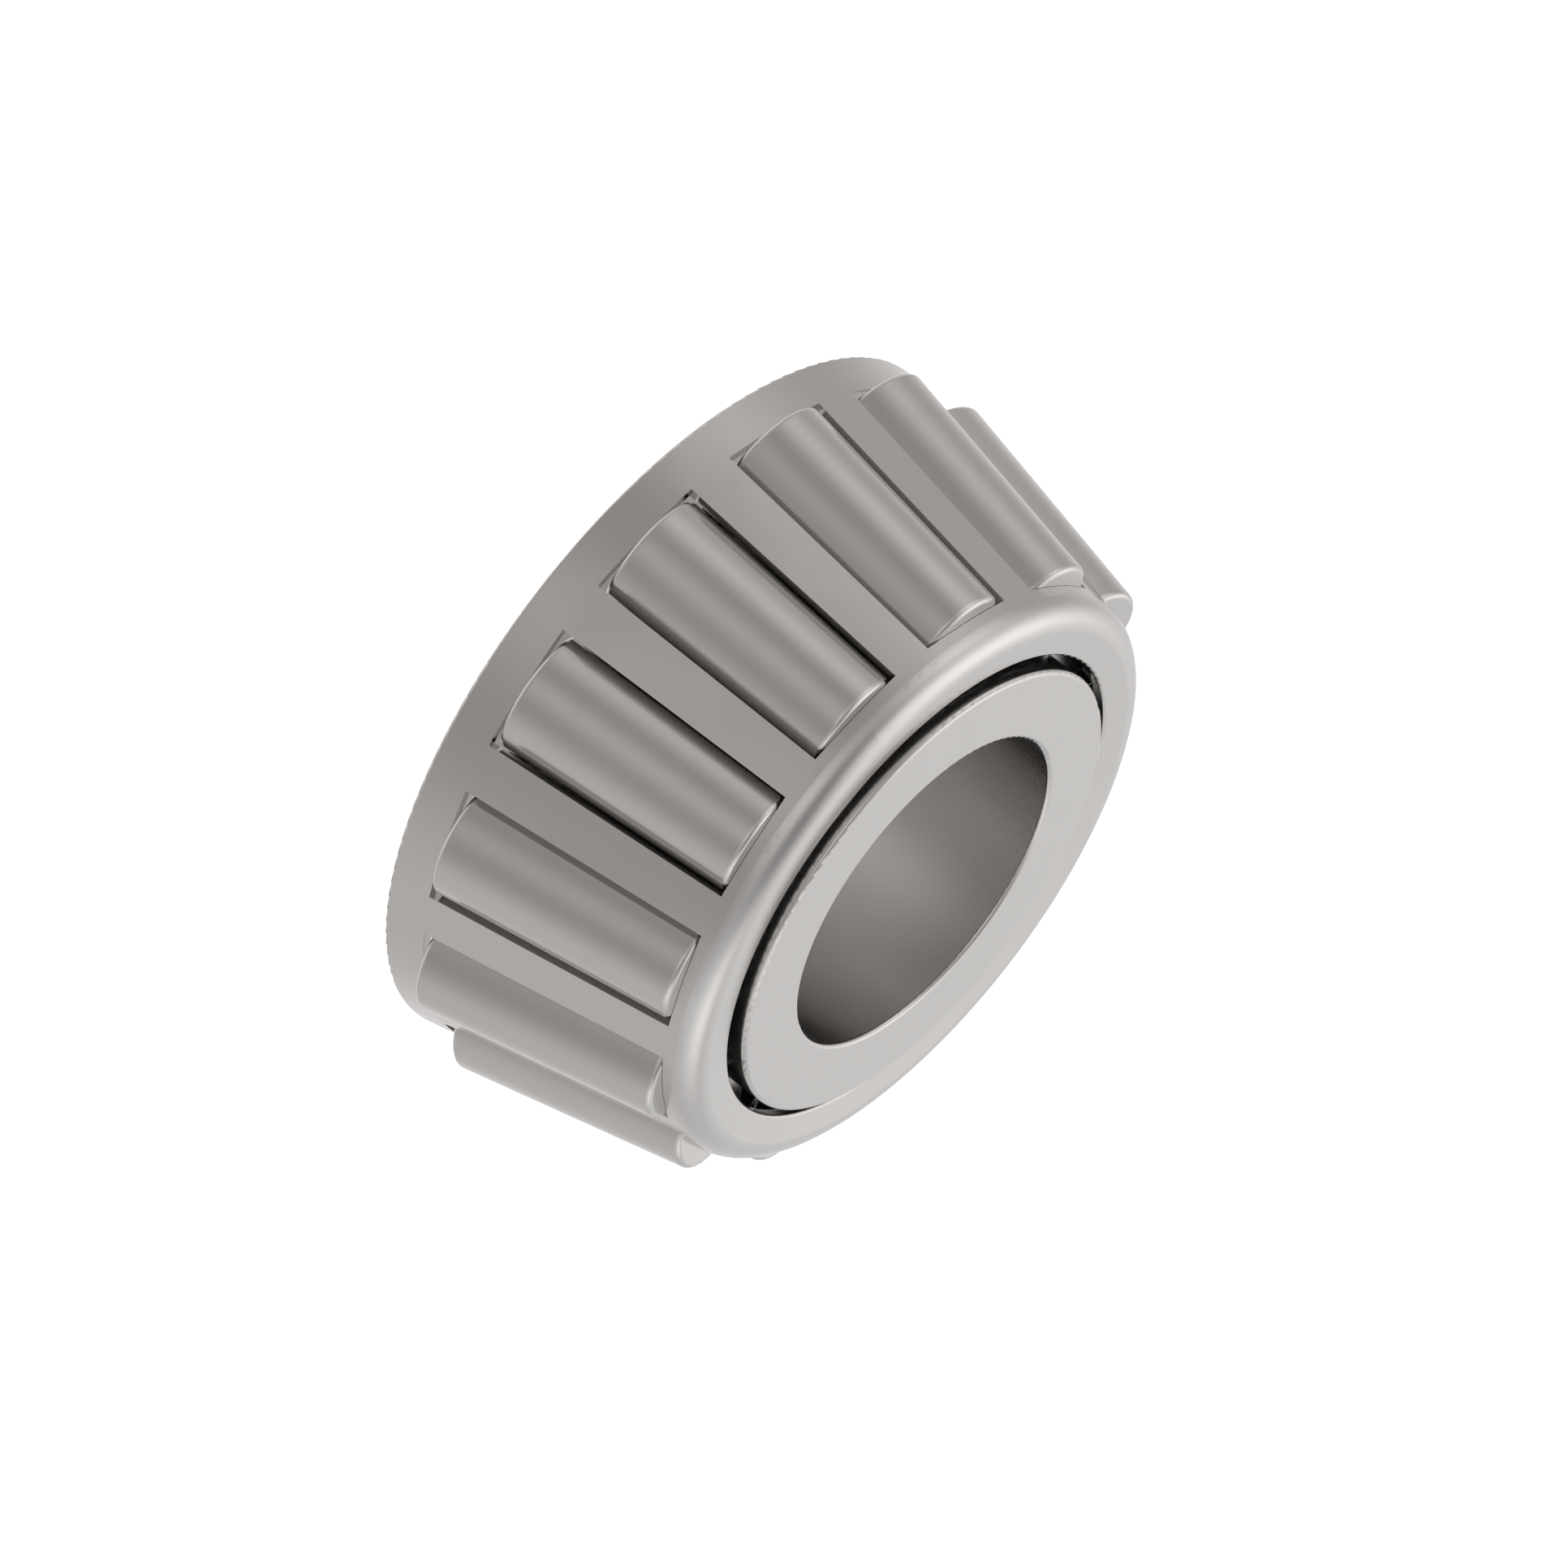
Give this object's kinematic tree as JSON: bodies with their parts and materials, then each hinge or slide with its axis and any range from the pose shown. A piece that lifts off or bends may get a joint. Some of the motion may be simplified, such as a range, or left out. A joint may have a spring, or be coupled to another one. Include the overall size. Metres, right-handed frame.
{
  "type": "tapered roller bearing",
  "caption": "Cone assembly of a tapered roller bearing: bored inner ring carrying tapered rollers in a pressed sheet-steel cage, for combined radial and axial load.",
  "frame": {"origin": "centre of the bore on the flat back face, the large-end face of the inner ring", "axes": "+Z along the bearing axis towards the small end; roller_01 lies on the +X side"},
  "size_m": [0.0565, 0.0568, 0.0242],
  "materials": {
    "ring_steel": "fine ground, satin",
    "cage_steel": "pressed sheet, satin",
    "roller_steel": "fine ground, semi-gloss"
  },
  "bodies": {
    "inner_ring": {"inner_ring": "ring_steel"},
    "cage": {"cage": "cage_steel"},
    "roller_01": {"roller_01": "roller_steel"},
    "roller_02": {"roller_02": "roller_steel"},
    "roller_03": {"roller_03": "roller_steel"},
    "roller_04": {"roller_04": "roller_steel"},
    "roller_05": {"roller_05": "roller_steel"},
    "roller_06": {"roller_06": "roller_steel"},
    "roller_07": {"roller_07": "roller_steel"},
    "roller_08": {"roller_08": "roller_steel"},
    "roller_09": {"roller_09": "roller_steel"},
    "roller_10": {"roller_10": "roller_steel"},
    "roller_11": {"roller_11": "roller_steel"},
    "roller_12": {"roller_12": "roller_steel"},
    "roller_13": {"roller_13": "roller_steel"}
  },
  "joints": [
    {"name": "cage_spin", "type": "hinge", "parent": "inner_ring", "child": "cage", "pos_m": [0, 0, 0.012], "axis": [0, 0, 1], "continuous": true},
    {"name": "roller_01_spin", "type": "hinge", "parent": "cage", "child": "roller_01", "pos_m": [0.02252, 0, 0.01208], "axis": [-0.1841, 0, 0.9829], "continuous": true},
    {"name": "roller_02_spin", "type": "hinge", "parent": "cage", "child": "roller_02", "pos_m": [0.01994, 0.01047, 0.01208], "axis": [-0.163, -0.0856, 0.9829], "continuous": true},
    {"name": "roller_03_spin", "type": "hinge", "parent": "cage", "child": "roller_03", "pos_m": [0.01279, 0.01854, 0.01208], "axis": [-0.1046, -0.1515, 0.9829], "continuous": true},
    {"name": "roller_04_spin", "type": "hinge", "parent": "cage", "child": "roller_04", "pos_m": [0.00271, 0.02236, 0.01208], "axis": [-0.0222, -0.1828, 0.9829], "continuous": true},
    {"name": "roller_05_spin", "type": "hinge", "parent": "cage", "child": "roller_05", "pos_m": [-0.00799, 0.02106, 0.01208], "axis": [0.0653, -0.1722, 0.9829], "continuous": true},
    {"name": "roller_06_spin", "type": "hinge", "parent": "cage", "child": "roller_06", "pos_m": [-0.01686, 0.01494, 0.01208], "axis": [0.1378, -0.1221, 0.9829], "continuous": true},
    {"name": "roller_07_spin", "type": "hinge", "parent": "cage", "child": "roller_07", "pos_m": [-0.02187, 0.00539, 0.01208], "axis": [0.1788, -0.0441, 0.9829], "continuous": true},
    {"name": "roller_08_spin", "type": "hinge", "parent": "cage", "child": "roller_08", "pos_m": [-0.02187, -0.00539, 0.01208], "axis": [0.1788, 0.0441, 0.9829], "continuous": true},
    {"name": "roller_09_spin", "type": "hinge", "parent": "cage", "child": "roller_09", "pos_m": [-0.01686, -0.01494, 0.01208], "axis": [0.1378, 0.1221, 0.9829], "continuous": true},
    {"name": "roller_10_spin", "type": "hinge", "parent": "cage", "child": "roller_10", "pos_m": [-0.00799, -0.02106, 0.01208], "axis": [0.0653, 0.1722, 0.9829], "continuous": true},
    {"name": "roller_11_spin", "type": "hinge", "parent": "cage", "child": "roller_11", "pos_m": [0.00271, -0.02236, 0.01208], "axis": [-0.0222, 0.1828, 0.9829], "continuous": true},
    {"name": "roller_12_spin", "type": "hinge", "parent": "cage", "child": "roller_12", "pos_m": [0.01279, -0.01854, 0.01208], "axis": [-0.1046, 0.1515, 0.9829], "continuous": true},
    {"name": "roller_13_spin", "type": "hinge", "parent": "cage", "child": "roller_13", "pos_m": [0.01994, -0.01047, 0.01208], "axis": [-0.163, 0.0856, 0.9829], "continuous": true}
  ],
  "couplings": [
    {"joint": "roller_01_spin", "follows": "cage_spin", "ratio": 4.343},
    {"joint": "roller_02_spin", "follows": "cage_spin", "ratio": 4.343},
    {"joint": "roller_03_spin", "follows": "cage_spin", "ratio": 4.343},
    {"joint": "roller_04_spin", "follows": "cage_spin", "ratio": 4.343},
    {"joint": "roller_05_spin", "follows": "cage_spin", "ratio": 4.343},
    {"joint": "roller_06_spin", "follows": "cage_spin", "ratio": 4.343},
    {"joint": "roller_07_spin", "follows": "cage_spin", "ratio": 4.343},
    {"joint": "roller_08_spin", "follows": "cage_spin", "ratio": 4.343},
    {"joint": "roller_09_spin", "follows": "cage_spin", "ratio": 4.343},
    {"joint": "roller_10_spin", "follows": "cage_spin", "ratio": 4.343},
    {"joint": "roller_11_spin", "follows": "cage_spin", "ratio": 4.343},
    {"joint": "roller_12_spin", "follows": "cage_spin", "ratio": 4.343},
    {"joint": "roller_13_spin", "follows": "cage_spin", "ratio": 4.343}
  ]
}
